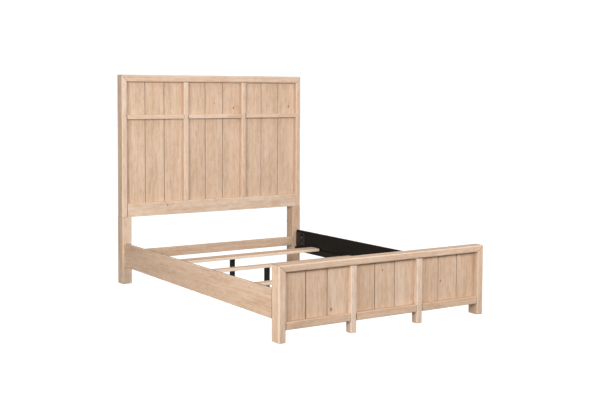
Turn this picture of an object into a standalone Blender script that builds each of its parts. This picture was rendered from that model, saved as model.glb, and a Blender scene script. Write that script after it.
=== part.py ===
"""Queen-size wooden bed frame with a planked headboard and a planked footboard.

Sizes are in metres. The bed stands on the floor at Z = 0 and the origin is the middle of its
footprint. X runs across the bed, Y along it with the headboard at +Y, and Z up.
"""

import math

import bmesh
import bpy
from mathutils import Vector

OBJECT_NAME = "wooden_bed_frame"

# Space left between pieces that touch
GAP = 0.0003

# Whole bed
BED_LENGTH = 2.244
FRAME_RADIUS = 0.010
EASED_RADIUS = 0.004

# Headboard: a mitred frame with overlaid mullions and rails, standing on two legs
HEADBOARD_WIDTH = 1.650
HEADBOARD_HEIGHT = 1.609
HEADBOARD_DEPTH = 0.089
STILE_WIDTH = 0.044
HEADBOARD_TOP_RAIL_HEIGHT = 0.053
HEADBOARD_BASE = 0.516
HEADBOARD_LOW_RAIL_TOP = 0.619
HEADBOARD_MID_RAIL_BASE = 1.268
HEADBOARD_MID_RAIL_TOP = 1.3005
HEADBOARD_LEG_WIDTH = 0.078
CROSS_RAIL_BASE = 0.184
CROSS_RAIL_TOP = 0.2575
CROSS_RAIL_THICKNESS = 0.025
CROSS_RAIL_SETBACK = 0.001

# Footboard: two posts and a top rail, mitred, with two middle legs
FOOTBOARD_WIDTH = 1.620
FOOTBOARD_HEIGHT = 0.461
FOOTBOARD_DEPTH = 0.085
POST_WIDTH = 0.052
FOOTBOARD_TOP_RAIL_HEIGHT = 0.044
FOOTBOARD_LOW_RAIL_BASE = 0.075
FOOTBOARD_LOW_RAIL_TOP = 0.122
LOW_RAIL_SETBACK = 0.002

# Mullions and middle legs, each with the place of its middle and its width, and the planks
HEADBOARD_MULLION = (0.2655, 0.040)
FOOTBOARD_LEG = (0.262, 0.046)
PLANK_RECESS = 0.030
PLANK_THICKNESS = 0.018
PLANK_OVERLAP = 0.094
PLANKS_PER_PANEL = 3
GROOVE_WIDTH = 0.0035
GROOVE_DEPTH = 0.010
GROOVE_CHAMFER = 0.0015
TONGUE_REACH = 0.006

# Side rails with the ledgers that hold the slats
RAIL_OUTER = 0.807
RAIL_THICKNESS = 0.019
RAIL_BASE = 0.134
RAIL_TOP = 0.315
LEDGER_THICKNESS = 0.019
LEDGER_BASE = 0.138
LEDGER_TOP = 0.177
LEDGER_END_SPACE = 0.010

# Slats, each with its middle, its width and the place of its support leg along the bed
SLATS = (
    (0.741, 0.108, 0.772),
    (0.266, 0.058, 0.268),
    (-0.316, 0.058, -0.314),
)
SLAT_THICKNESS = 0.021
SLAT_END_SPACE = 0.010
SLAT_RADIUS = 0.0025
SUPPORT_WIDTH = 0.032
SUPPORT_BASE = 0.020
SUPPORT_RADIUS = 0.002
FOOT_RADIUS = 0.016
FOOT_HEIGHT = 0.006
STEM_RADIUS = 0.004
STEM_TOP = 0.050
STEM_CLEARANCE = 0.0003
BORE_TOP = 0.066

# Steel joint plates and bolts where each side rail meets its post
PLATE_LENGTH = 0.126
PLATE_BASE = 0.184
PLATE_TOP = 0.296
PLATE_THICKNESS = 0.003
POCKET_FROM_POST = 0.065
POCKET_LENGTH = 0.030
POCKET_BASE = 0.190
POCKET_TOP = 0.284
POCKET_DEPTH = 0.015
BOLT_OFFSET = 0.7955
BOLT_HEIGHTS = (0.202, 0.257)
BOLT_LENGTH = 0.100
BOLT_RADIUS = 0.003
BOLT_CLEARANCE = 0.0003
BOLT_HEAD_RADIUS = 0.006
BOLT_HEAD_HEIGHT = 0.005
BOLT_HEAD_CHAMFER = 0.0012
BOLT_HEAD_SINK = 0.0005
STRAP_WIDTH = 0.013
STRAP_THICKNESS = 0.003
STRAP_MARGIN = 0.009
HOLE_DEPTH_IN_POST = 0.034

ROUND_SEGMENTS = 4
TURNED_SEGMENTS = 24
BOLT_SEGMENTS = 16
SMOOTH_ANGLE = math.radians(35)
TOUCHING = 1e-6
MERGE_DISTANCE = 1e-5

# Planes that several pieces share
HEAD_BACK = BED_LENGTH / 2
HEAD_FRONT = HEAD_BACK - HEADBOARD_DEPTH
HEAD_INNER = HEADBOARD_WIDTH / 2 - STILE_WIDTH
HEAD_LEG_INNER = HEADBOARD_WIDTH / 2 - HEADBOARD_LEG_WIDTH
FOOT_FRONT = -BED_LENGTH / 2
FOOT_BACK = FOOT_FRONT + FOOTBOARD_DEPTH
FOOT_INNER = FOOTBOARD_WIDTH / 2 - POST_WIDTH
RAIL_INNER = RAIL_OUTER - RAIL_THICKNESS

# An edge is named by the side it lies on along X, Y and Z, with 0 for the way it runs.
UPRIGHT_EDGES = {(x, y, 0) for x in (-1, 1) for y in (-1, 1)}
CROSSWISE_EDGES = {(0, y, z) for y in (-1, 1) for z in (-1, 1)}
LENGTHWISE_EDGES = {(x, 0, z) for x in (-1, 1) for z in (-1, 1)}
FRONT_UPRIGHT_EDGES = {(x, -1, 0) for x in (-1, 1)}
FRONT_CROSSWISE_EDGES = {(0, -1, z) for z in (-1, 1)}

# Colour, roughness and metallic value of each finish
FINISHES = {
    "limed_wood": ((0.62, 0.45, 0.33), 0.60, 0.0),
    "pine": ((0.80, 0.64, 0.46), 0.65, 0.0),
    "black_paint": ((0.015, 0.014, 0.013), 0.45, 0.0),
    "black_steel": ((0.020, 0.020, 0.020), 0.40, 0.8),
    "zinc_steel": ((0.60, 0.60, 0.58), 0.35, 1.0),
    "black_rubber": ((0.020, 0.020, 0.020), 0.80, 0.0),
}

SIDES = (("left", -1), ("right", 1))
ENDS = (("head", 1), ("foot", -1))


def clear_scene():
    """Empties the scene and makes the two collections."""
    for obj in list(bpy.data.objects):
        bpy.data.objects.remove(obj, do_unlink=True)
    for collection in list(bpy.data.collections):
        bpy.data.collections.remove(collection)
    for name in (OBJECT_NAME, "cutters"):
        bpy.context.scene.collection.children.link(bpy.data.collections.new(name))


def finish_material(node, finish):
    """A Principled material for one piece."""
    colour, roughness, metallic = FINISHES[finish]
    material = bpy.data.materials.new(f"{node}_{finish}")
    material.use_nodes = True
    shader = material.node_tree.nodes["Principled BSDF"]
    shader.inputs["Base Color"].default_value = (*colour, 1.0)
    shader.inputs["Roughness"].default_value = roughness
    shader.inputs["Metallic"].default_value = metallic
    return material


def add_piece(name, shape, finish):
    """Puts a visible piece in the bed's own collection."""
    obj = bpy.data.objects.new(name, shape)
    obj.data.materials.append(finish_material(name, finish))
    bpy.data.collections[OBJECT_NAME].objects.link(obj)
    return obj


def add_cutter(name, mesh):
    """Puts a helper shape among the cutters, out of the render."""
    obj = bpy.data.objects.new(name, mesh)
    obj.hide_render = True
    obj.display_type = "WIRE"
    bpy.data.collections["cutters"].objects.link(obj)
    return obj


def edge_place(edge, centre):
    """The side of the box that an edge lies on along each axis, 0 being the way it runs."""
    middle = (edge.verts[0].co + edge.verts[1].co) / 2 - centre
    return tuple(0 if abs(part) < TOUCHING else int(math.copysign(1, part)) for part in middle)


def cut_off(bm, point, normal):
    """Removes what lies beyond a plane and closes the cut."""
    everything = bm.verts[:] + bm.edges[:] + bm.faces[:]
    cut = bmesh.ops.bisect_plane(
        bm, geom=everything, plane_co=point, plane_no=normal, clear_outer=True
    )
    rim = [item for item in cut["geom_cut"] if isinstance(item, bmesh.types.BMEdge)]
    bmesh.ops.edgeloop_fill(bm, edges=rim)


def finished_mesh(bm, name):
    """Writes a bmesh to a mesh with smooth round-overs and sharp corners."""
    bmesh.ops.recalc_face_normals(bm, faces=bm.faces)
    mesh = bpy.data.meshes.new(name)
    bm.to_mesh(mesh)
    bm.free()
    mesh.shade_smooth()
    mesh.set_sharp_from_angle(angle=SMOOTH_ANGLE)
    return mesh


def box_mesh(name, low, high, rounded=(), radius=FRAME_RADIUS, segments=ROUND_SEGMENTS,
             foot_radius=0.0, mitres=()):
    """A box between two corners, with the named edges rounded and the given planes cut off."""
    low = Vector(low)
    high = Vector(high)
    size = high - low
    centre = (low + high) / 2
    bm = bmesh.new()
    bmesh.ops.create_cube(bm, size=1.0)
    for vert in bm.verts:
        vert.co = centre + Vector(part * length for part, length in zip(vert.co, size))
    picked = [edge for edge in bm.edges if edge_place(edge, centre) in rounded]
    if picked:
        bmesh.ops.bevel(
            bm, geom=picked, offset=radius, segments=segments, profile=0.5, affect="EDGES"
        )
    if foot_radius:
        rim = [
            edge for edge in bm.edges
            if all(abs(vert.co.z - low.z) < TOUCHING for vert in edge.verts)
        ]
        bmesh.ops.bevel(
            bm, geom=rim, offset=foot_radius, segments=2, profile=0.5, affect="EDGES"
        )
    for point, normal in mitres:
        cut_off(bm, point, normal)
    return finished_mesh(bm, name)


def board(name, low, high, finish="limed_wood", **shape):
    """A visible piece made from one rounded box."""
    return add_piece(name, box_mesh(name, low, high, **shape), finish)


def cutter_box(name, low, high):
    """A box that only cuts."""
    return add_cutter(name, box_mesh(name, low, high))


def cutter_rod(name, start, end, radius):
    """A round rod between two points that only cuts."""
    start = Vector(start)
    end = Vector(end)
    bm = bmesh.new()
    bmesh.ops.create_cone(
        bm, cap_ends=True, segments=BOLT_SEGMENTS, radius1=radius, radius2=radius,
        depth=(end - start).length,
    )
    rod = add_cutter(name, finished_mesh(bm, name))
    rod.location = (start + end) / 2
    rod.rotation_mode = "QUATERNION"
    rod.rotation_quaternion = Vector((0, 0, 1)).rotation_difference(end - start)
    return rod


def combine(target, helper, operation="DIFFERENCE"):
    """Cuts a helper out of a piece, or joins it on."""
    modifier = target.modifiers.new(f"{operation.lower()}_{helper.name}", "BOOLEAN")
    modifier.operation = operation
    modifier.solver = "EXACT"
    modifier.object = helper


def profile_mesh(name, outline):
    """A chain of edges in the XZ plane, from its top on the Z axis to its foot on the Z axis."""
    mesh = bpy.data.meshes.new(name)
    links = [(index, index + 1) for index in range(len(outline) - 1)]
    mesh.from_pydata([(radius, 0.0, height) for radius, height in outline], links, [])
    return mesh


def turn(obj, segments):
    """Turns a profile once round its own Z axis."""
    screw = obj.modifiers.new("turn", "SCREW")
    screw.axis = "Z"
    screw.steps = segments
    screw.render_steps = segments
    screw.use_merge_vertices = True
    screw.merge_threshold = MERGE_DISTANCE
    screw.use_smooth_shade = False


def mitre_plane(side, outer, top, run, rise):
    """The plane of a mitred corner: a point on it and the normal that faces the top rail."""
    corner = Vector((side * outer, 0.0, top))
    normal = Vector((-side * rise, 0.0, run)).normalized()
    return corner, normal


def mitred_frame(prefix, upright, outer, width, top, rise, front, back, base, foot_radius):
    """Two uprights and the top rail that is mitred to them."""
    rail_cuts = []
    for label, side in SIDES:
        corner, normal = mitre_plane(side, outer, top, width, rise)
        edges = sorted((side * outer, side * (outer - width)))
        board(
            f"{prefix}_{upright}_{label}",
            (edges[0], front, base),
            (edges[1], back, top),
            rounded=UPRIGHT_EDGES,
            foot_radius=foot_radius,
            mitres=[(corner - normal * GAP / 2, normal)],
        )
        rail_cuts.append((corner + normal * GAP / 2, -normal))
    board(
        f"{prefix}_top_rail",
        (-outer, front, top - rise),
        (outer, back, top),
        rounded=CROSSWISE_EDGES,
        mitres=rail_cuts,
    )


def mullion_sides(mullion):
    """How far the two sides of a mullion are from the bed's middle line."""
    offset, width = mullion
    return offset - width / 2, offset + width / 2


def plank_bounds(inner, mullion):
    """Where the planks meet across a panel: thirds of each bay, and behind each mullion."""
    near, far = mullion_sides(mullion)
    half = [near / PLANKS_PER_PANEL, mullion[0]]
    half += [far + (inner - far) * step / PLANKS_PER_PANEL for step in (1, 2)]
    half.append(inner)
    return [-bound for bound in reversed(half)] + half


def plank_edge(bound, side, front, inner):
    """Half a plank's outline, from its face to its back, on the side that faces -X or +X.

    An edge that faces the middle of the bed has a tongue, which the next plank laps over.
    """
    back = front + PLANK_THICKNESS
    lap = front + GROOVE_DEPTH
    if abs(bound) >= inner:
        return [(bound - side * GROOVE_CHAMFER, front), (bound, front + GROOVE_CHAMFER), (bound, back)]
    face = bound - side * GROOVE_WIDTH / 2
    outline = [(face - side * GROOVE_CHAMFER, front), (face, front + GROOVE_CHAMFER)]
    if side * bound < 0:
        tongue = bound + side * TONGUE_REACH
        return outline + [(face, lap), (tongue, lap), (tongue, back)]
    rebate = bound - side * (TONGUE_REACH + GAP)
    return outline + [(face, lap - GAP), (rebate, lap - GAP), (rebate, back)]


def add_planks(prefix, inner, mullion, front, base, top):
    """The nine upright planks of a panel, lapped over each other's tongues with a gap in front."""
    bounds = plank_bounds(inner, mullion)
    for number, (left, right) in enumerate(zip(bounds, bounds[1:]), start=1):
        section = list(reversed(plank_edge(left, -1, front + GAP, inner)))
        section += plank_edge(right, 1, front + GAP, inner)
        name = f"{prefix}_plank_{number}"
        upright = bpy.data.curves.new(name, "CURVE")
        upright.dimensions = "2D"
        upright.fill_mode = "BOTH"
        upright.extrude = (top - GAP - base) / 2
        spline = upright.splines.new("POLY")
        spline.points.add(len(section) - 1)
        for point, (x, y) in zip(spline.points, section):
            point.co = (x, y, 0.0, 1.0)
        spline.use_cyclic_u = True
        plank = add_piece(name, upright, "limed_wood")
        plank.location.z = (base + top - GAP) / 2


def add_crosspieces(prefix, inner, mullion, front, back, base, top):
    """Three rails in one line, between the outer uprights and the two mullions."""
    near, far = mullion_sides(mullion)
    spans = (("left", -inner, -far), ("centre", -near, near), ("right", far, inner))
    for label, left, right in spans:
        board(
            f"{prefix}_{label}",
            (left + GAP, front, base),
            (right - GAP, back, top),
            rounded=FRONT_CROSSWISE_EDGES,
            radius=EASED_RADIUS,
        )


def headboard_mullions(base, top):
    """The two uprights between the headboard's bays."""
    for label, side in SIDES:
        left, right = sorted(side * edge for edge in mullion_sides(HEADBOARD_MULLION))
        board(
            f"headboard_mullion_{label}",
            (left, HEAD_FRONT, base),
            (right, HEAD_FRONT + PLANK_RECESS, top),
            rounded=FRONT_UPRIGHT_EDGES,
        )


def footboard_middle_legs(top):
    """Two legs that lie over the planks and are deeper below them, down to the floor."""
    for label, side in SIDES:
        left, right = sorted(side * edge for edge in mullion_sides(FOOTBOARD_LEG))
        plank_front = FOOT_FRONT + PLANK_RECESS
        leg = board(
            f"footboard_mid_leg_{label}",
            (left, FOOT_FRONT, 0.0),
            (right, plank_front + PLANK_THICKNESS, top),
            rounded=FRONT_UPRIGHT_EDGES,
            foot_radius=EASED_RADIUS,
        )
        notch = cutter_box(
            f"middle_leg_notch_{label}",
            (left - POST_WIDTH, plank_front, FOOTBOARD_LOW_RAIL_BASE),
            (right + POST_WIDTH, FOOT_BACK, FOOTBOARD_HEIGHT),
        )
        combine(leg, notch)


def headboard():
    """The tall panel at +Y, on its own two legs."""
    frame_base = HEADBOARD_BASE + GAP
    panel_top = HEADBOARD_HEIGHT - HEADBOARD_TOP_RAIL_HEIGHT
    plank_front = HEAD_FRONT + PLANK_RECESS
    mitred_frame(
        "headboard", "stile", HEADBOARD_WIDTH / 2, STILE_WIDTH, HEADBOARD_HEIGHT,
        HEADBOARD_TOP_RAIL_HEIGHT, HEAD_FRONT, HEAD_BACK, frame_base, foot_radius=0.0,
    )
    board(
        "headboard_bottom_rail",
        (-HEAD_INNER + GAP, HEAD_FRONT + LOW_RAIL_SETBACK, frame_base),
        (HEAD_INNER - GAP, plank_front, HEADBOARD_LOW_RAIL_TOP),
        rounded=FRONT_CROSSWISE_EDGES,
        radius=EASED_RADIUS,
    )
    headboard_mullions(HEADBOARD_LOW_RAIL_TOP + GAP, panel_top - GAP)
    add_crosspieces(
        "headboard_mid_rail", HEAD_INNER, HEADBOARD_MULLION, HEAD_FRONT, plank_front,
        HEADBOARD_MID_RAIL_BASE, HEADBOARD_MID_RAIL_TOP,
    )
    add_planks(
        "headboard", HEAD_INNER - GAP, HEADBOARD_MULLION, plank_front,
        HEADBOARD_LOW_RAIL_TOP - PLANK_OVERLAP, panel_top,
    )
    headboard_legs(plank_front + PLANK_THICKNESS + 2 * GAP)
    board(
        "headboard_cross_rail",
        (-HEAD_LEG_INNER + GAP, HEAD_FRONT + CROSS_RAIL_SETBACK, CROSS_RAIL_BASE),
        (HEAD_LEG_INNER - GAP, HEAD_FRONT + CROSS_RAIL_THICKNESS, CROSS_RAIL_TOP),
        rounded=CROSSWISE_EDGES,
        radius=EASED_RADIUS,
    )


def headboard_legs(tongue_front):
    """Each leg carries a stile on its shoulder and rises behind the planks as a tongue."""
    for label, side in SIDES:
        edges = sorted((side * HEADBOARD_WIDTH / 2, side * HEAD_LEG_INNER))
        leg = board(
            f"headboard_leg_{label}",
            (edges[0], HEAD_FRONT, 0.0),
            (edges[1], HEAD_BACK, HEADBOARD_LOW_RAIL_TOP),
            rounded=UPRIGHT_EDGES,
            radius=EASED_RADIUS,
            foot_radius=EASED_RADIUS / 2,
        )
        stile_edges = sorted((side * HEADBOARD_WIDTH, side * (HEAD_INNER - GAP)))
        shoulder = cutter_box(
            f"leg_shoulder_{label}",
            (stile_edges[0], HEAD_FRONT - STILE_WIDTH, HEADBOARD_BASE),
            (stile_edges[1], HEAD_BACK + STILE_WIDTH, HEADBOARD_HEIGHT),
        )
        front_notch = cutter_box(
            f"leg_front_notch_{label}",
            (edges[0] - STILE_WIDTH, HEAD_FRONT - STILE_WIDTH, HEADBOARD_BASE),
            (edges[1] + STILE_WIDTH, tongue_front, HEADBOARD_HEIGHT),
        )
        combine(leg, shoulder)
        combine(leg, front_notch)


def footboard():
    """The low panel at -Y, on two posts and two middle legs."""
    panel_top = FOOTBOARD_HEIGHT - FOOTBOARD_TOP_RAIL_HEIGHT
    plank_front = FOOT_FRONT + PLANK_RECESS
    mitred_frame(
        "footboard", "post", FOOTBOARD_WIDTH / 2, POST_WIDTH, FOOTBOARD_HEIGHT,
        FOOTBOARD_TOP_RAIL_HEIGHT, FOOT_FRONT, FOOT_BACK, 0.0, foot_radius=EASED_RADIUS,
    )
    footboard_middle_legs(panel_top - GAP)
    add_crosspieces(
        "footboard_bottom_rail", FOOT_INNER, FOOTBOARD_LEG, FOOT_FRONT + LOW_RAIL_SETBACK,
        plank_front, FOOTBOARD_LOW_RAIL_BASE, FOOTBOARD_LOW_RAIL_TOP,
    )
    add_planks(
        "footboard", FOOT_INNER - GAP, FOOTBOARD_LEG, plank_front,
        FOOTBOARD_LOW_RAIL_BASE + GAP, panel_top,
    )


def side_rails():
    """The two long rails, each with a ledger along its foot."""
    for label, side in SIDES:
        faces = sorted((side * RAIL_OUTER, side * RAIL_INNER))
        rail = board(
            f"side_rail_{label}",
            (faces[0], FOOT_BACK + GAP, RAIL_BASE),
            (faces[1], HEAD_FRONT - GAP, RAIL_TOP),
            rounded=LENGTHWISE_EDGES,
            radius=EASED_RADIUS,
        )
        ledger_outer = RAIL_INNER - GAP
        faces = sorted((side * ledger_outer, side * (ledger_outer - LEDGER_THICKNESS)))
        board(
            f"slat_ledger_{label}",
            (faces[0], FOOT_BACK + LEDGER_END_SPACE, LEDGER_BASE),
            (faces[1], HEAD_FRONT - LEDGER_END_SPACE, LEDGER_TOP),
            finish="black_paint",
            rounded=LENGTHWISE_EDGES,
            radius=EASED_RADIUS / 2,
        )
        for end_label, end in ENDS:
            rail_joint(rail, f"{end_label}_{label}", side, end)


def rail_joint(rail, corner, side, end):
    """The steel plate, the bolts and the pocket that fasten one rail end to its post."""
    post_face = HEAD_FRONT if end > 0 else FOOT_BACK
    post_name = "headboard_leg" if end > 0 else "footboard_post"
    post = bpy.data.objects[f"{post_name}_{corner.split('_')[1]}"]
    pocket_wall = post_face - end * POCKET_FROM_POST

    plate_x = sorted((side * (RAIL_INNER - GAP), side * (RAIL_INNER - GAP - PLATE_THICKNESS)))
    plate_y = sorted((post_face - end * GAP, post_face - end * PLATE_LENGTH))
    plate = board(
        f"rail_plate_{corner}",
        (plate_x[0], plate_y[0], PLATE_BASE),
        (plate_x[1], plate_y[1], PLATE_TOP),
        finish="black_steel",
    )
    pocket_x = sorted((side * (RAIL_INNER - POCKET_DEPTH), side * (RAIL_INNER + POCKET_DEPTH)))
    pocket_y = sorted((pocket_wall, pocket_wall - end * POCKET_LENGTH))
    pocket = cutter_box(
        f"pocket_{corner}",
        (pocket_x[0], pocket_y[0], POCKET_BASE),
        (pocket_x[1], pocket_y[1], POCKET_TOP),
    )
    combine(plate, pocket)
    combine(rail, pocket)

    strap_face = pocket_wall - end * STRAP_THICKNESS
    strap_x = (side * BOLT_OFFSET - STRAP_WIDTH / 2, side * BOLT_OFFSET + STRAP_WIDTH / 2)
    strap_y = sorted((pocket_wall - end * GAP, strap_face))
    strap = board(
        f"rail_bolts_{corner}",
        (strap_x[0], strap_y[0], min(BOLT_HEIGHTS) - STRAP_MARGIN),
        (strap_x[1], strap_y[1], max(BOLT_HEIGHTS) + STRAP_MARGIN),
        finish="zinc_steel",
    )
    for number, height in enumerate(BOLT_HEIGHTS, start=1):
        bolt = add_cutter(f"bolt_{corner}_{number}", profile_mesh("bolt_profile", bolt_outline()))
        turn(bolt, BOLT_SEGMENTS)
        bolt.location = (side * BOLT_OFFSET, strap_face, height)
        bolt.rotation_euler = (end * math.pi / 2, 0.0, 0.0)
        combine(strap, bolt, "UNION")
        hole = cutter_rod(
            f"bolt_hole_{corner}_{number}",
            (side * BOLT_OFFSET, strap_face, height),
            (side * BOLT_OFFSET, post_face + end * HOLE_DEPTH_IN_POST, height),
            BOLT_RADIUS + BOLT_CLEARANCE,
        )
        combine(rail, hole)
        combine(post, hole)


def bolt_outline():
    """Half the outline of a round-headed bolt whose head rests at Z = 0."""
    return [
        (0.0, BOLT_HEAD_HEIGHT),
        (BOLT_HEAD_RADIUS - BOLT_HEAD_CHAMFER, BOLT_HEAD_HEIGHT),
        (BOLT_HEAD_RADIUS, BOLT_HEAD_HEIGHT - BOLT_HEAD_CHAMFER),
        (BOLT_HEAD_RADIUS, -BOLT_HEAD_SINK),
        (BOLT_RADIUS, -BOLT_HEAD_SINK),
        (BOLT_RADIUS, -BOLT_LENGTH),
        (0.0, -BOLT_LENGTH),
    ]


def leveller_outline():
    """Half the outline of a levelling foot: a threaded stem on a round pad."""
    return [
        (0.0, STEM_TOP),
        (STEM_RADIUS, STEM_TOP),
        (STEM_RADIUS, FOOT_HEIGHT + EASED_RADIUS / 2),
        (FOOT_RADIUS / 2, FOOT_HEIGHT + EASED_RADIUS / 2),
        (FOOT_RADIUS, FOOT_HEIGHT),
        (FOOT_RADIUS, 0.0),
        (0.0, 0.0),
    ]


def slats():
    """Three slats on the ledgers, each with a middle support leg and a levelling foot."""
    slat_base = LEDGER_TOP + GAP
    half_length = RAIL_INNER - SLAT_END_SPACE
    half_support = SUPPORT_WIDTH / 2
    foot_mesh = profile_mesh("leveller_profile", leveller_outline())
    for number, (centre, width, support) in enumerate(SLATS, start=1):
        board(
            f"slat_{number}",
            (-half_length, centre - width / 2, slat_base),
            (half_length, centre + width / 2, slat_base + SLAT_THICKNESS),
            finish="pine",
            rounded=CROSSWISE_EDGES,
            radius=SLAT_RADIUS,
            segments=2,
        )
        leg = board(
            f"support_leg_{number}",
            (-half_support, support - half_support, SUPPORT_BASE),
            (half_support, support + half_support, LEDGER_TOP),
            finish="black_paint",
            rounded=UPRIGHT_EDGES,
            radius=SUPPORT_RADIUS,
            segments=2,
        )
        bore = cutter_rod(
            f"leveller_bore_{number}", (0.0, support, 0.0), (0.0, support, BORE_TOP),
            STEM_RADIUS + STEM_CLEARANCE,
        )
        combine(leg, bore)
        foot = add_piece(f"leveller_{number}", foot_mesh.copy(), "black_rubber")
        foot.location = (0.0, support, 0.0)
        turn(foot, TURNED_SEGMENTS)


def build():
    """Makes the whole bed."""
    clear_scene()
    headboard()
    footboard()
    side_rails()
    slats()


build()
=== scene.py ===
"""Looks of the wooden bed frame: limed wood, bare pine, black paint and steel, and its small screws."""

import math
import random

import bmesh
import bpy
from mathutils import Euler, Matrix, Vector


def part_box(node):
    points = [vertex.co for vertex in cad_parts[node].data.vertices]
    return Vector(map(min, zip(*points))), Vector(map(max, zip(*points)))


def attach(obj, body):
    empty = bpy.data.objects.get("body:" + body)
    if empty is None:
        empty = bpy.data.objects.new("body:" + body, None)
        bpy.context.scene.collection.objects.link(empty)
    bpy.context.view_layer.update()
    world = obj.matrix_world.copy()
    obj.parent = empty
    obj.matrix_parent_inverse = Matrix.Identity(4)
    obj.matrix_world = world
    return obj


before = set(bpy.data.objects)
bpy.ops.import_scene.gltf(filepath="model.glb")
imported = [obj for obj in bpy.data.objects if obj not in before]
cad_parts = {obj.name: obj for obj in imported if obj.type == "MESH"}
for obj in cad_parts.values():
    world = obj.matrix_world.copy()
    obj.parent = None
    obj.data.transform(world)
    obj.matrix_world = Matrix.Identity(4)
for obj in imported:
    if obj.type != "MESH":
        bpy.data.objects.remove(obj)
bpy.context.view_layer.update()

BODY = "bed_frame"

# Camera: where it stands, which way it looks, its lens in mm and how its picture is framed
CAMERA_PLACE = (-3.96692, -5.90351, 1.44226)
CAMERA_YAW = -0.52609
CAMERA_PITCH = -0.05371
FOCAL_LENGTH = 59.59241
FRAME_SHIFT = (0.1293, -0.1)

# Studio: lights as name, place, target, size, power and colour, then the glow from below and above
WHITE_LIGHT = (1.0, 1.0, 1.0)
WARM_LIGHT = (1.0, 0.93, 0.86)
LIGHTS = (
    ("key", (-7.5, -5.0, 3.6), (0.0, 0.0, 0.6), 2.4, 280.0, WHITE_LIGHT),
    ("left_fill", (-4.6, -1.8, 1.2), (-0.8, -0.4, 0.4), 1.6, 33.0, WARM_LIGHT),
    ("low_left_fill", (-3.2, -0.9, 0.8), (-0.8, -0.9, 0.3), 1.0, 18.0, WARM_LIGHT),
    ("front_fill", (-0.5, -6.0, 3.1), (0.0, 0.0, 0.7), 1.4, 122.0, WHITE_LIGHT),
    ("right_fill", (2.6, -3.4, 2.4), (0.4, 1.1, 0.9), 1.6, 60.0, WHITE_LIGHT),
    ("top_fill", (0.0, 0.0, 4.0), (0.0, 0.0, 0.0), 3.0, 36.0, WHITE_LIGHT),
)
FLOOR_GLOW = (0.25, 0.228, 0.207, 1.0)
SKY_GLOW = (0.17, 0.161, 0.152, 1.0)
ROOM_RADIUS = 40.0
ROOM_BRIGHTNESS = 1.05

# The way the grain runs: each turn takes that axis to the shader's own Z
GRAIN_TURNS = (
    Euler((0.0, -math.pi / 2, 0.0)),
    Euler((math.pi / 2, 0.0, 0.0)),
    Euler((0.0, 0.0, 0.0)),
)

# Wide boards are glued up from strips
STAVE_WIDTH = 0.085
STAVE_CONTRAST = 0.05

# Dark lines by how wide they are: dark joints at a board's ends, and painted shade along the
# headboard's top rail's upper edge;
# dark joints along a plank's edges and painted shade in its corners against the frame;
# and painted shadow on the planks under the rails that stand out above them
JOINT_AND_EDGE_SHADE_WIDTH = 0.0022
PLANK_JOINT_AND_CORNER_SHADE_WIDTH = 0.0018
SHADE_WIDTHS = {"headboard": 0.0030, "footboard": 0.0090}
JOINT_AND_SHADE_COLOUR = (0.15, 0.072, 0.036, 1.0)
JOINT_AND_SHADE_SHARE = 0.62

# Painted shade down in a plank's grooves: how deep a groove is where that shade is full, and how much
# of the dark colour it takes
GROOVE_DEPTH_SEEN = 0.0022
GROOVE_SHADE_SHARE = 0.42

# The frame's pieces that a panel's planks meet, the rails from the lowest up
PANEL_RAILS = {
    "headboard": ("headboard_bottom_rail", "headboard_mid_rail_centre", "headboard_top_rail"),
    "footboard": ("footboard_bottom_rail_centre", "footboard_top_rail"),
}
PANEL_UPRIGHTS = {"headboard": "headboard_mullion", "footboard": "footboard_mid_leg"}

# The side rails' bare strips: at the outer face, along the top and along the foot
RAIL_BARE_FACE = 0.0035
RAIL_RIM = 0.0030
RAIL_RIM_WANDER = 0.0012

# How light the boards are, by the start of their names; the first that fits counts
TONES = (
    ("headboard_leg_left", 1.09),
    # The right headboard leg's low tone is painted shade
    ("headboard_leg_right", 0.88),
    ("headboard_cross_rail", 0.88),
    ("headboard_bottom_rail", 1.12),
    ("headboard_plank_1", 1.00),
    ("headboard_plank_2", 0.96),
    ("headboard_plank_3", 0.99),
    ("headboard_plank_7", 0.98),
    ("headboard_plank", 0.96),
    ("headboard_top_rail", 1.02),
    ("headboard_mullion_right", 1.04),
    ("headboard_stile_right", 1.01),
    ("headboard", 1.10),
    ("footboard_plank_1", 0.91),
    ("footboard_plank_2", 0.93),
    ("footboard_plank_3", 1.04),
    ("footboard_plank_4", 0.94),
    ("footboard_plank_6", 1.04),
    ("footboard_plank_7", 0.91),
    ("footboard_plank_9", 0.90),
    ("footboard_plank", 0.96),
    ("footboard_bottom_rail", 0.92),
    ("footboard_top_rail", 1.04),
    ("footboard_mid_leg", 1.20),
    ("footboard_post_right", 0.97),
    ("footboard", 1.09),
    ("side_rail", 1.00),
)

# Knots, as fractions of the board's width and length, with the knot's radius
KNOTS = {
    "headboard_bottom_rail": ((0.73, 0.22, 0.005),),
    "headboard_plank_5": ((0.52, 0.84, 0.0035),),
    "headboard_plank_6": ((0.57, 0.80, 0.006),),
    "headboard_plank_9": ((0.65, 0.81, 0.006),),
    "footboard_plank_3": ((0.15, 0.24, 0.006),),
    "footboard_plank_5": ((0.38, 0.84, 0.004),),
    "footboard_plank_8": ((0.15, 0.51, 0.005),),
    "headboard_leg_right": ((0.20, 0.36, 0.005), (0.84, 0.62, 0.005)),
    "side_rail_left": ((0.30, 0.42, 0.003), (0.62, 0.70, 0.003)),
}


def linear(red, green, blue):
    """A display colour from 0 to 255 as the linear colour that shaders take."""
    parts = (value / 255 for value in (red, green, blue))
    steps = (part / 12.92 if part <= 0.04045 else ((part + 0.055) / 1.055) ** 2.4 for part in parts)
    return (*steps, 1.0)


# ---------------------------------------------------------------- shader graph helpers


def plug(tree, socket, value):
    """Links an output to an input, or sets the input's own value."""
    if isinstance(value, bpy.types.NodeSocket):
        tree.links.new(value, socket)
    else:
        socket.default_value = value


def calculate(tree, operation, *values):
    """A math node's result."""
    node = tree.nodes.new("ShaderNodeMath")
    node.operation = operation
    for socket, value in zip(node.inputs, values):
        plug(tree, socket, value)
    return node.outputs[0]


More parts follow.
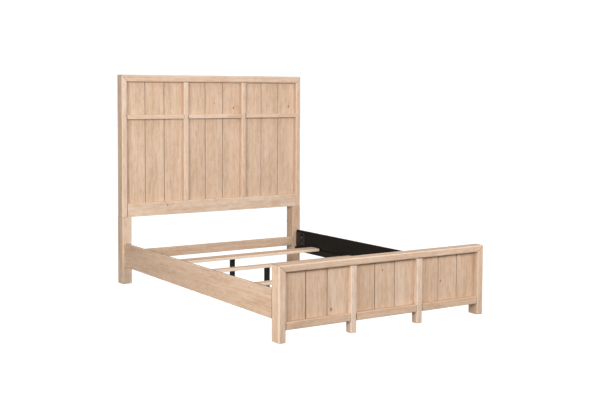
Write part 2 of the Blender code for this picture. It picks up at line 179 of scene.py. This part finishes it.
def vector_calculate(tree, operation, *values):
    """A vector math node; its result is a number for LENGTH and DOT_PRODUCT."""
    node = tree.nodes.new("ShaderNodeVectorMath")
    node.operation = operation
    for socket, value in zip(node.inputs, values):
        plug(tree, socket, value)
    return node.outputs["Value" if operation in ("LENGTH", "DOT_PRODUCT") else "Vector"]


def noise(tree, vector, scale, detail=3.0, roughness=0.55):
    """Smooth noise from 0 to 1."""
    node = tree.nodes.new("ShaderNodeTexNoise")
    plug(tree, node.inputs["Vector"], vector)
    node.inputs["Scale"].default_value = scale
    node.inputs["Detail"].default_value = detail
    node.inputs["Roughness"].default_value = roughness
    return node.outputs["Fac"]


def remap(tree, value, low, high, new_low=0.0, new_high=1.0):
    """Stretches a range of values onto another, with the ends held."""
    node = tree.nodes.new("ShaderNodeMapRange")
    node.clamp = True
    plug(tree, node.inputs["Value"], value)
    node.inputs["From Min"].default_value = low
    node.inputs["From Max"].default_value = high
    node.inputs["To Min"].default_value = new_low
    node.inputs["To Max"].default_value = new_high
    return node.outputs["Result"]


def blend_colours(tree, factor, first, second, blend_type="MIX"):
    """A mix of two colours."""
    node = tree.nodes.new("ShaderNodeMix")
    node.data_type = "RGBA"
    node.blend_type = blend_type
    plug(tree, node.inputs["Factor"], factor)
    plug(tree, node.inputs["A"], first)
    plug(tree, node.inputs["B"], second)
    return node.outputs["Result"]


def stretch(tree, vector, across, along):
    """Scales the shader's space across and along the grain."""
    return vector_calculate(tree, "MULTIPLY", vector, (across, across, along))


def new_material(name):
    """An empty Principled material: its tree and its shader node."""
    material = bpy.data.materials.new(name)
    material.use_nodes = True
    return material, material.node_tree, material.node_tree.nodes["Principled BSDF"]


def bump(tree, height, strength, distance):
    """A bump normal from a height."""
    node = tree.nodes.new("ShaderNodeBump")
    node.inputs["Strength"].default_value = strength
    node.inputs["Distance"].default_value = distance
    plug(tree, node.inputs["Height"], height)
    return node.outputs["Normal"]


def place(tree):
    """The point on the surface, in the bed's own frame."""
    return tree.nodes.new("ShaderNodeTexCoord").outputs["Object"]


def rounded_edge_mask(tree):
    """Near 1 where the surface turns through a rounded edge and 0 on the flat faces."""
    normal = tree.nodes.new("ShaderNodeNewGeometry").outputs["Normal"]
    facing = vector_calculate(tree, "ABSOLUTE", normal)
    parts = tree.nodes.new("ShaderNodeSeparateXYZ")
    plug(tree, parts.inputs[0], facing)
    largest = calculate(
        tree, "MAXIMUM", parts.outputs[0],
        calculate(tree, "MAXIMUM", parts.outputs[1], parts.outputs[2]),
    )
    return remap(tree, largest, 0.985, 0.80)


# ---------------------------------------------------------------- wood


def board_axes(node_name):
    """A board's box and its three axes, from its thickness through its width to its length."""
    low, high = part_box(node_name)
    size = high - low
    return low, high, sorted(range(3), key=lambda axis: size[axis])


def split(tree, vector):
    """The three parts of a vector."""
    node = tree.nodes.new("ShaderNodeSeparateXYZ")
    plug(tree, node.inputs[0], vector)
    return node.outputs


def toned(colour, tone):
    """A colour made lighter or darker, and warmer as it gets darker."""
    red, green, blue, _ = colour
    return (red * tone ** 0.66, green * tone, blue * tone ** 1.38, 1.0)


def staves(tree, node_name, dice):
    """The strips that a wide board is glued up from: a number from 0 up and a tone for each."""
    low, high, (_, wide, _) = board_axes(node_name)
    width = high[wide] - low[wide]
    across = split(tree, place(tree))[wide]
    count = 1 + int(width / STAVE_WIDTH)
    number = None
    tone = dice.uniform(-STAVE_CONTRAST, STAVE_CONTRAST)
    for step in range(1, count):
        seam = low[wide] + width * (step + dice.uniform(-0.22, 0.22)) / count
        beyond = calculate(tree, "GREATER_THAN", across, seam)
        number = beyond if number is None else calculate(tree, "ADD", number, beyond)
        change = dice.uniform(-2 * STAVE_CONTRAST, 2 * STAVE_CONTRAST)
        tone = calculate(tree, "MULTIPLY_ADD", beyond, change, tone)
    return number, tone


def board_space(tree, node_name, dice, stave):
    """The surface point with the grain along Z and the heart of the tree on the Z axis.

    It returns that point with each stave moved to a tree of its own, the point before that, a
    function that takes a point of the bed there, and the board's face as a direction.
    """
    low, high, (thin, wide, grain) = board_axes(node_name)
    size = high - low
    heart = (low + high) / 2
    heart[thin] += dice.choice((-1, 1)) * dice.uniform(0.05, 0.13)
    heart[wide] += dice.uniform(-0.35, 0.35) * size[wide]
    turn = GRAIN_TURNS[grain].to_matrix()
    tilt = Euler((dice.uniform(-0.02, 0.02), dice.uniform(-0.02, 0.02), 0.0)).to_matrix()
    turn = tilt @ turn
    shift = Vector((0.0, 0.0, dice.uniform(3.0, 30.0))) - turn @ heart
    mapping = tree.nodes.new("ShaderNodeMapping")
    plug(tree, mapping.inputs["Vector"], place(tree))
    mapping.inputs["Rotation"].default_value = turn.to_euler()
    mapping.inputs["Location"].default_value = shift
    space = mapping.outputs["Vector"]
    if stave is not None:
        jump = vector_calculate(tree, "SCALE", (0.017, -0.011, 1.9), stave)
        space = vector_calculate(tree, "ADD", space, jump)
    flatten = turn @ Vector(0.0 if axis == thin else 1.0 for axis in range(3))
    return space, mapping.outputs["Vector"], (lambda point: turn @ Vector(point) + shift), flatten


def knot_centres(node_name):
    """Where a board's knots lie in the bed's frame, and their radii."""
    low, high, (_, wide, grain) = board_axes(node_name)
    size = high - low
    for across, along, radius in KNOTS.get(node_name, ()):
        point = (low + high) / 2
        point[wide] = low[wide] + across * size[wide]
        point[grain] = low[grain] + along * size[grain]
        yield point, radius


def wood_grain(tree, node_name, dice, ring_spacing, stave):
    """One board's rings, streaks, fibres, clouds, flecks, mottle and knots, each from 0 to 1."""
    space, whole_space, into_space, flatten = board_space(tree, node_name, dice, stave)
    flatten = Vector(abs(part) for part in flatten)
    flatten.z = 0.62
    drift = noise(tree, stretch(tree, space, 1.0, 0.10), 8.0, 2.0)
    wobble = noise(tree, stretch(tree, space, 1.0, 0.18), 42.0, 3.0)
    across = vector_calculate(tree, "MULTIPLY", space, (1.0, 1.0, 0.0))
    radius = vector_calculate(tree, "LENGTH", across)
    field = calculate(tree, "MULTIPLY_ADD", drift, 0.045, radius)
    field = calculate(tree, "MULTIPLY_ADD", wobble, 0.005, field)
    knots = None
    for point, size in knot_centres(node_name):
        offset = vector_calculate(tree, "SUBTRACT", whole_space, into_space(point))
        offset = vector_calculate(tree, "MULTIPLY", offset, flatten)
        distance = vector_calculate(tree, "LENGTH", offset)
        near = remap(tree, distance, 6.0 * size, 0.0)
        swirl = calculate(tree, "MULTIPLY", near, near)
        field = calculate(tree, "MULTIPLY_ADD", swirl, 3.2 * size, field)
        core = remap(tree, distance, 1.5 * size, 0.6 * size)
        knots = core if knots is None else calculate(tree, "MAXIMUM", knots, core)
    phase = calculate(tree, "FRACT", calculate(tree, "DIVIDE", field, ring_spacing))
    late = remap(tree, phase, 0.35, 0.90)
    fade = remap(tree, phase, 1.0, 0.92)
    rings = calculate(tree, "MULTIPLY", late, fade)
    streaks = noise(tree, stretch(tree, space, 1.0, 0.030), 70.0, 4.0, 0.66)
    fibres = noise(tree, stretch(tree, space, 1.0, 0.020), 520.0, 3.0, 0.62)
    clouds = noise(tree, stretch(tree, space, 1.0, 0.16), 13.0, 4.0, 0.60)
    flecks = noise(tree, stretch(tree, space, 1.0, 0.22), 150.0, 3.0, 0.60)
    mottle = noise(tree, stretch(tree, space, 1.0, 0.30), 48.0, 5.0, 0.72)
    return rings, streaks, fibres, clouds, flecks, mottle, knots


def mitre_lines(node_name):
    """The mitres that cut a piece: a point on each and the way that it faces."""
    for family, upright in (("headboard", "stile"), ("footboard", "post")):
        rail_low, rail_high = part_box(f"{family}_top_rail")
        rise = rail_high.z - rail_low.z
        for side_name, side in (("left", -1), ("right", 1)):
            post = f"{family}_{upright}_{side_name}"
            if node_name in (post, f"{family}_top_rail"):
                low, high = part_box(post)
                normal = Vector((-side * rise, 0.0, high.x - low.x)).normalized()
                yield Vector((side * high.x if side > 0 else low.x, 0.0, high.z)), normal


def plank_dark_lines(node_name):
    """The dark lines on a plank, each as an axis, a place and a width: joints with the next planks,
    painted shade in its corners against the frame and painted shadow under the rails.
    """
    family = node_name.split("_")[0]
    low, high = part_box(node_name)
    # Dark joints with the next planks at its sides
    yield 0, low.x, PLANK_JOINT_AND_CORNER_SHADE_WIDTH
    yield 0, high.x, PLANK_JOINT_AND_CORNER_SHADE_WIDTH
    rails = PANEL_RAILS[family]
    for lower, upper in zip(rails, rails[1:]):
        # Painted shade in the corner above each rail, and painted shadow under the rail above it
        yield 2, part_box(lower)[1].z, PLANK_JOINT_AND_CORNER_SHADE_WIDTH
        yield 2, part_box(upper)[0].z, SHADE_WIDTHS[family]
    # Painted shade in the corners against the uprights
    for side_name in ("left", "right"):
        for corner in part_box(f"{PANEL_UPRIGHTS[family]}_{side_name}"):
            if low.x < corner.x < high.x:
                yield 0, corner.x, PLANK_JOINT_AND_CORNER_SHADE_WIDTH


def plank_joints_and_shade(tree, node_name):
    """Near 1 in the dark joints and painted shade lines round a plank, and painted shade less than that
    down in its grooves.
    """
    parts = split(tree, place(tree))
    # Painted shade down in the plank's grooves
    deep = calculate(tree, "SUBTRACT", parts[1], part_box(node_name)[0].y)
    result = remap(tree, deep, GROOVE_DEPTH_SEEN / 3, GROOVE_DEPTH_SEEN, 0.0, GROOVE_SHADE_SHARE)
    for axis, at, width in plank_dark_lines(node_name):
        gap = calculate(tree, "ABSOLUTE", calculate(tree, "SUBTRACT", parts[axis], at))
        result = calculate(tree, "MAXIMUM", result, remap(tree, gap, width, width / 4))
    return result


def board_joint_and_shade_line(tree, node_name):
    """Near 1 in the dark line where a board of the frame meets the next, at its ends or its mitres.

    The headboard's top rail also has a dark line along its upper edge, which is painted shade.
    """
    low, high, (_, _, grain) = board_axes(node_name)
    surface = place(tree)
    parts = split(tree, surface)
    gaps = [
        calculate(tree, "SUBTRACT", parts[grain], low[grain]),
        calculate(tree, "SUBTRACT", high[grain], parts[grain]),
    ]
    # Painted shade along the top rail's upper rounded edge
    if node_name == "headboard_top_rail":
        gaps.append(calculate(tree, "SUBTRACT", high.z, parts[2]))
    for point, normal in mitre_lines(node_name):
        offset = vector_calculate(tree, "SUBTRACT", surface, point)
        reach = vector_calculate(tree, "DOT_PRODUCT", offset, normal)
        gaps.append(calculate(tree, "ABSOLUTE", reach))
    nearest = gaps[0]
    for gap in gaps[1:]:
        nearest = calculate(tree, "MINIMUM", nearest, gap)
    return remap(tree, nearest, JOINT_AND_EDGE_SHADE_WIDTH, JOINT_AND_EDGE_SHADE_WIDTH / 3)


def wood_material(node_name, palette, tone, ring_spacing, roughness, edge_wear_and_highlight):
    """One board's wood: staves, rings, streaks and fibres, knots, worn edges with a painted highlight,
    and dark joints with painted shade and shadow.
    """
    dice = random.Random(node_name)
    material, tree, shader = new_material(f"wood_{node_name}")
    stave, stave_tone = staves(tree, node_name, dice)
    grain = wood_grain(tree, node_name, dice, ring_spacing, stave)
    rings, streaks, fibres, clouds, flecks, mottle, knots = grain
    pale, mid, dark, grey, worn_and_highlit, knot_colour = (toned(colour, tone) for colour in palette)
    cloudy = calculate(tree, "ADD", clouds, stave_tone)
    colour = blend_colours(tree, remap(tree, cloudy, 0.34, 0.66), pale, mid)
    streak_share = remap(tree, streaks, 0.46, 0.74, 0.0, 0.55)
    colour = blend_colours(tree, streak_share, colour, dark)
    wash_share = remap(tree, streaks, 0.46, 0.26, 0.0, 0.55)
    colour = blend_colours(tree, wash_share, colour, grey)
    ring_share = calculate(tree, "MULTIPLY", rings, remap(tree, clouds, 0.35, 0.70, 0.05, 0.34))
    colour = blend_colours(tree, ring_share, colour, dark)
    fleck_share = remap(tree, flecks, 0.60, 0.74, 0.0, 0.50)
    colour = blend_colours(tree, fleck_share, colour, dark)
    colour = blend_colours(tree, remap(tree, mottle, 0.50, 0.64, 0.0, 0.55), colour, grey)
    colour = blend_colours(tree, remap(tree, mottle, 0.49, 0.34, 0.0, 0.38), colour, dark)
    fibre_share = remap(tree, fibres, 0.54, 0.78, 0.0, 0.50)
    colour = blend_colours(tree, fibre_share, colour, dark)
    chalk_share = remap(tree, fibres, 0.46, 0.26, 0.0, 0.40)
    colour = blend_colours(tree, chalk_share, colour, worn_and_highlit)
    if knots is not None:
        colour = blend_colours(tree, calculate(tree, "MULTIPLY", knots, 0.80), colour, knot_colour)
    # Rounded edges made lighter: partly worn finish, partly painted highlight
    edge_wear_and_highlight_share = calculate(tree, "MULTIPLY", rounded_edge_mask(tree), edge_wear_and_highlight)
    colour = blend_colours(tree, edge_wear_and_highlight_share, colour, worn_and_highlit)
    # Dark joints together with painted shade and shadow, in one dark colour
    joint_and_shade_line = plank_joints_and_shade if "_plank_" in node_name else board_joint_and_shade_line
    joint_and_shade_share = calculate(tree, "MULTIPLY", joint_and_shade_line(tree, node_name), JOINT_AND_SHADE_SHARE)
    colour = blend_colours(tree, joint_and_shade_share, colour, JOINT_AND_SHADE_COLOUR)
    plug(tree, shader.inputs["Base Color"], colour)
    gloss = remap(tree, streaks, 0.2, 0.8, roughness - 0.07, roughness + 0.09)
    plug(tree, shader.inputs["Roughness"], gloss)
    relief = calculate(tree, "MULTIPLY_ADD", rings, -0.35, fibres)
    plug(tree, shader.inputs["Normal"], bump(tree, relief, 0.35, 0.0006))
    shader.inputs["Specular IOR Level"].default_value = 0.30
    return material, tree, shader, colour


# The colours of each wood: pale, middle, dark, greyed, worn (also the painted highlight on rounded
# edges) and knot
LIMED = (
    linear(235, 207, 182), linear(222, 191, 163), linear(192, 157, 127),
    linear(229, 208, 191), linear(243, 223, 204), linear(118, 86, 64),
)
PINE = (
    linear(254, 236, 214), linear(252, 228, 203), linear(232, 196, 164),
    linear(254, 238, 221), linear(255, 245, 232), linear(170, 122, 84),
)

# Painted shade: what a slat's faces that look up or down are multiplied by
SLAT_FACE_PAINTED_SHADE = (0.80, 0.73, 0.68, 1.0)


def tone_of(node_name):
    """How light a board is beside the others."""
    for start, tone in TONES:
        if node_name.startswith(start):
            return tone
    return 1.0


def limed_wood(node_name):
    """The pale limed finish of every outer piece."""
    return wood_material(node_name, LIMED, tone_of(node_name), 0.0125, 0.60, 0.50)


def pine_wood(node_name):
    """The bare pine of the slats, with painted shade making the faces that look up or down darker than
    its edges.
    """
    material, tree, shader, colour = wood_material(node_name, PINE, 1.0, 0.007, 0.66, 0.30)
    # Painted shade on the faces that look up or down
    normal = tree.nodes.new("ShaderNodeNewGeometry").outputs["Normal"]
    face = calculate(tree, "ABSOLUTE", split(tree, normal)[2])
    share = remap(tree, face, 0.6, 0.9)
    plug(tree, shader.inputs["Base Color"], blend_colours(tree, share, colour, SLAT_FACE_PAINTED_SHADE, "MULTIPLY"))
    return material


def black_paint_look(tree, vector):
    """Colour, roughness and height of black paint brushed over wood."""
    grain = noise(tree, stretch(tree, vector, 1.0, 0.05), 240.0, 3.0)
    scuffs = noise(tree, vector, 14.0, 5.0, 0.65)
    colour = blend_colours(
        tree, remap(tree, scuffs, 0.45, 0.75), (0.0038, 0.0041, 0.0039, 1.0),
        (0.0080, 0.0078, 0.0072, 1.0),
    )
    gloss = remap(tree, scuffs, 0.3, 0.7, 0.42, 0.60)
    return colour, gloss, grain


def side_rail_wood(node_name):
    """Limed wood outside and below, black paint on the inner face and over the top edge."""
    material, tree, shader, colour = limed_wood(node_name)
    low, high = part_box(node_name)
    outer = max(abs(low.x), abs(high.x))
    surface = place(tree)
    parts = split(tree, surface)
    ragged = noise(tree, surface, 160.0, 3.0)
    rim = calculate(tree, "MULTIPLY_ADD", ragged, RAIL_RIM_WANDER, RAIL_RIM)
    on_top = calculate(tree, "GREATER_THAN", parts[2], high.z - RAIL_RIM_WANDER)
    strip = calculate(tree, "MULTIPLY", rim, -2.0)
    limit = calculate(tree, "MULTIPLY_ADD", on_top, strip, outer - RAIL_BARE_FACE)
    inside = calculate(tree, "LESS_THAN", calculate(tree, "ABSOLUTE", parts[0]), limit)
    above = calculate(tree, "GREATER_THAN", parts[2], calculate(tree, "ADD", low.z, rim))
    mask = calculate(tree, "MULTIPLY", inside, above)
    paint, paint_gloss, _ = black_paint_look(tree, surface)
    plug(tree, shader.inputs["Base Color"], blend_colours(tree, mask, colour, paint))
    wood_gloss = shader.inputs["Roughness"].links[0].from_socket
    node = tree.nodes.new("ShaderNodeMix")
    plug(tree, node.inputs["Factor"], mask)
    plug(tree, node.inputs["A"], wood_gloss)
    plug(tree, node.inputs["B"], paint_gloss)
    plug(tree, shader.inputs["Roughness"], node.outputs["Result"])
    return material


def black_paint(node_name):
    """Black paint over a wooden cleat or leg, a little worn on its edges."""
    material, tree, shader = new_material(f"paint_{node_name}")
    colour, gloss, grain = black_paint_look(tree, place(tree))
    edge = calculate(tree, "MULTIPLY", rounded_edge_mask(tree), 0.5)
    colour = blend_colours(tree, edge, colour, (0.040, 0.037, 0.034, 1.0))
    plug(tree, shader.inputs["Base Color"], colour)
    plug(tree, shader.inputs["Roughness"], gloss)
    plug(tree, shader.inputs["Normal"], bump(tree, grain, 0.25, 0.0004))
    return material


def black_steel():
    """Black powder coat, with its fine orange peel."""
    material, tree, shader = new_material("black_steel")
    surface = place(tree)
    peel = noise(tree, surface, 900.0, 2.0)
    wear = noise(tree, surface, 60.0, 5.0, 0.7)
    colour = blend_colours(
        tree, remap(tree, wear, 0.5, 0.8), (0.016, 0.016, 0.017, 1.0), (0.034, 0.034, 0.035, 1.0)
    )
    plug(tree, shader.inputs["Base Color"], colour)
    plug(tree, shader.inputs["Roughness"], remap(tree, wear, 0.3, 0.7, 0.36, 0.50))
    plug(tree, shader.inputs["Normal"], bump(tree, peel, 0.20, 0.0003))
    return material


def zinc_steel():
    """Bright zinc plate with faint spangle and dull patches."""
    material, tree, shader = new_material("zinc_steel")
    surface = place(tree)
    patches = noise(tree, surface, 240.0, 4.0, 0.6)
    colour = blend_colours(
        tree, patches, (0.55, 0.54, 0.51, 1.0), (0.78, 0.77, 0.74, 1.0)
    )
    plug(tree, shader.inputs["Base Color"], colour)
    plug(tree, shader.inputs["Roughness"], remap(tree, patches, 0.3, 0.7, 0.28, 0.42))
    plug(tree, shader.inputs["Normal"], bump(tree, patches, 0.10, 0.0002))
    shader.inputs["Metallic"].default_value = 1.0
    return material


def foot_rubber():
    """Matt black moulded foot with a fine grain and dust near the floor."""
    material, tree, shader = new_material("foot_rubber")
    surface = place(tree)
    grain = noise(tree, surface, 1400.0, 2.0)
    dust = noise(tree, surface, 90.0, 4.0, 0.7)
    colour = blend_colours(
        tree, remap(tree, dust, 0.5, 0.8), (0.017, 0.017, 0.017, 1.0), (0.050, 0.048, 0.045, 1.0)
    )
    plug(tree, shader.inputs["Base Color"], colour)
    plug(tree, shader.inputs["Roughness"], remap(tree, dust, 0.3, 0.7, 0.62, 0.80))
    plug(tree, shader.inputs["Normal"], bump(tree, grain, 0.20, 0.0003))
    return material


def dress_frame():
    """Gives every CAD node its own procedural material."""
    steel = black_steel()
    zinc = zinc_steel()
    rubber = foot_rubber()
    for name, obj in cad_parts.items():
        if name.startswith("side_rail"):
            material = side_rail_wood(name)
        elif name.startswith(("slat_ledger", "support_leg")):
            material = black_paint(name)
        elif name.startswith("slat"):
            material = pine_wood(name)
        elif name.startswith("rail_plate"):
            material = steel
        elif name.startswith("rail_bolts"):
            material = zinc
        elif name.startswith("leveller"):
            material = rubber
        else:
            material = limed_wood(name)[0]
        obj.data.materials.clear()
        obj.data.materials.append(material)
    return steel, zinc


# ---------------------------------------------------------------- screws

SCREW_SIDES = 24
SCREW_RISE = 0.0016
SLAT_SCREW_RADIUS = 0.0042
PLATE_SCREW_RADIUS = 0.0045

# Where the screws are, as shares of a slat's width and of a plate's length and height
SLAT_SCREW_SHARES = (("a", 0.28), ("b", 0.72))
PLATE_LENGTH_SHARES = (("near", 0.10), ("far", 0.90))
PLATE_HEIGHT_SHARES = (("low", 0.12), ("high", 0.88))


def screw_ring(radius, height, hexagonal=False):
    """One ring of points round a screw head, round or six-sided."""
    points = []
    for step in range(SCREW_SIDES):
        angle = 2 * math.pi * step / SCREW_SIDES
        reach = radius
        if hexagonal:
            reach = radius * math.cos(math.pi / 6) / math.cos(angle % (math.pi / 3) - math.pi / 6)
        points.append((reach * math.cos(angle), reach * math.sin(angle), height))
    return points


def screw_mesh(radius):
    """A low domed screw head with a hexagon socket, its seat at Z = 0."""
    rings = [
        screw_ring(radius, 0.0),
        screw_ring(radius, SCREW_RISE * 0.35),
        screw_ring(radius * 0.90, SCREW_RISE * 0.75),
        screw_ring(radius * 0.66, SCREW_RISE),
        screw_ring(radius * 0.44, SCREW_RISE, hexagonal=True),
        screw_ring(radius * 0.40, SCREW_RISE * 0.15, hexagonal=True),
    ]
    bm = bmesh.new()
    loops = [[bm.verts.new(point) for point in ring] for ring in rings]
    for lower, upper in zip(loops, loops[1:]):
        for step in range(SCREW_SIDES):
            after = (step + 1) % SCREW_SIDES
            bm.faces.new((lower[step], lower[after], upper[after], upper[step]))
    bm.faces.new(reversed(loops[0]))
    bm.faces.new(loops[-1])
    bmesh.ops.recalc_face_normals(bm, faces=bm.faces)
    mesh = bpy.data.meshes.new("screw_head")
    bm.to_mesh(mesh)
    bm.free()
    mesh.shade_smooth()
    mesh.set_sharp_from_angle(angle=math.radians(40))
    return mesh


def add_screw(name, mesh, seat, outward, material):
    """A screw head whose seat is at a point, facing outward."""
    obj = bpy.data.objects.new(name, mesh.copy())
    bpy.context.scene.collection.objects.link(obj)
    obj.data.materials.append(material)
    turn = Vector((0, 0, 1)).rotation_difference(Vector(outward)).to_matrix().to_4x4()
    obj.matrix_world = Matrix.Translation(Vector(seat)) @ turn
    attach(obj, BODY)


def slat_screws(zinc):
    """Two screws at each end of each slat, down into the ledger."""
    mesh = screw_mesh(SLAT_SCREW_RADIUS)
    for number in (1, 2, 3):
        low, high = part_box(f"slat_{number}")
        for side_name, side in (("left", -1), ("right", 1)):
            ledger_low, ledger_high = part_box(f"slat_ledger_{side_name}")
            across = side * (min(abs(ledger_low.x), abs(ledger_high.x)) + high.x) / 2
            for place_name, share in SLAT_SCREW_SHARES:
                along = low.y + share * (high.y - low.y)
                add_screw(
                    f"slat_screw_{number}_{side_name}_{place_name}", mesh,
                    (across, along, high.z), (0, 0, 1), zinc,
                )


def plate_screws(steel):
    """A screw near each corner of each rail plate."""
    mesh = screw_mesh(PLATE_SCREW_RADIUS)
    for end in ("head", "foot"):
        for side_name, side in (("left", -1), ("right", 1)):
            low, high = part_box(f"rail_plate_{end}_{side_name}")
            face = low.x if side > 0 else high.x
            for y_name, y_share in PLATE_LENGTH_SHARES:
                for z_name, z_share in PLATE_HEIGHT_SHARES:
                    seat = (
                        face,
                        low.y + y_share * (high.y - low.y),
                        low.z + z_share * (high.z - low.z),
                    )
                    add_screw(
                        f"plate_screw_{end}_{side_name}_{y_name}_{z_name}", mesh, seat,
                        (-side, 0, 0), steel,
                    )


# ---------------------------------------------------------------- studio


def add_area_light(name, place_at, target, size, watts, colour):
    """A soft square light that faces a point."""
    data = bpy.data.lights.new(name, "AREA")
    data.shape = "SQUARE"
    data.size = size
    data.energy = watts
    data.color = colour
    obj = bpy.data.objects.new(name, data)
    bpy.context.scene.collection.objects.link(obj)
    obj.location = place_at
    obj.rotation_mode = "QUATERNION"
    obj.rotation_quaternion = (Vector(target) - Vector(place_at)).to_track_quat("-Z", "Y")


def studio_surround():
    """Soft light from all round: brighter from below, as a pale floor returns it."""
    world = bpy.data.worlds.new("studio")
    bpy.context.scene.world = world
    world.use_nodes = True
    tree = world.node_tree
    height = split(tree, tree.nodes.new("ShaderNodeTexCoord").outputs["Generated"])[2]
    share = remap(tree, height, -0.30, 0.45)
    colour = blend_colours(tree, share, FLOOR_GLOW, SKY_GLOW)
    plug(tree, tree.nodes["Background"].inputs["Color"], colour)


def studio_floor():
    """A pale floor and the white room round it, which only the camera sees."""
    bpy.ops.mesh.primitive_uv_sphere_add(segments=64, ring_count=32, radius=ROOM_RADIUS)
    room = bpy.context.active_object
    room.name = "studio_room"
    bpy.ops.mesh.primitive_plane_add(size=2.2 * ROOM_RADIUS, location=(0.0, 0.0, -0.0005))
    floor = bpy.context.active_object
    floor.name = "studio_floor"
    for stage, colour in ((room, 0.0), (floor, 0.22)):
        material, _, shader = new_material(f"pale_{stage.name}")
        shader.inputs["Base Color"].default_value = (colour, colour, colour, 1.0)
        shader.inputs["Roughness"].default_value = 0.9
        shader.inputs["Specular IOR Level"].default_value = 0.0
        shader.inputs["Emission Color"].default_value = (1.0, 1.0, 1.0, 1.0)
        shader.inputs["Emission Strength"].default_value = ROOM_BRIGHTNESS
        stage.data.materials.append(material)
        stage.visible_diffuse = False
        stage.visible_glossy = False
        stage.visible_transmission = False
        stage.visible_shadow = False


def studio_lights():
    """A broad soft key from the far left, with weaker fills from the left, front, right and above."""
    for light in LIGHTS:
        add_area_light(*light)


def add_camera():
    """The camera, at the height of someone standing off the bed's left corner."""
    data = bpy.data.cameras.new("camera")
    data.lens = FOCAL_LENGTH
    data.sensor_width = 36.0
    data.shift_x, data.shift_y = FRAME_SHIFT
    camera = bpy.data.objects.new("camera", data)
    bpy.context.scene.collection.objects.link(camera)
    camera.location = CAMERA_PLACE
    camera.rotation_euler = (math.pi / 2 + CAMERA_PITCH, 0.0, CAMERA_YAW)
    bpy.context.scene.camera = camera


add_camera()
studio_surround()
studio_floor()
studio_lights()
steel_material, zinc_material = dress_frame()
slat_screws(zinc_material)
plate_screws(steel_material)
bpy.context.scene.view_settings.view_transform = "Standard"
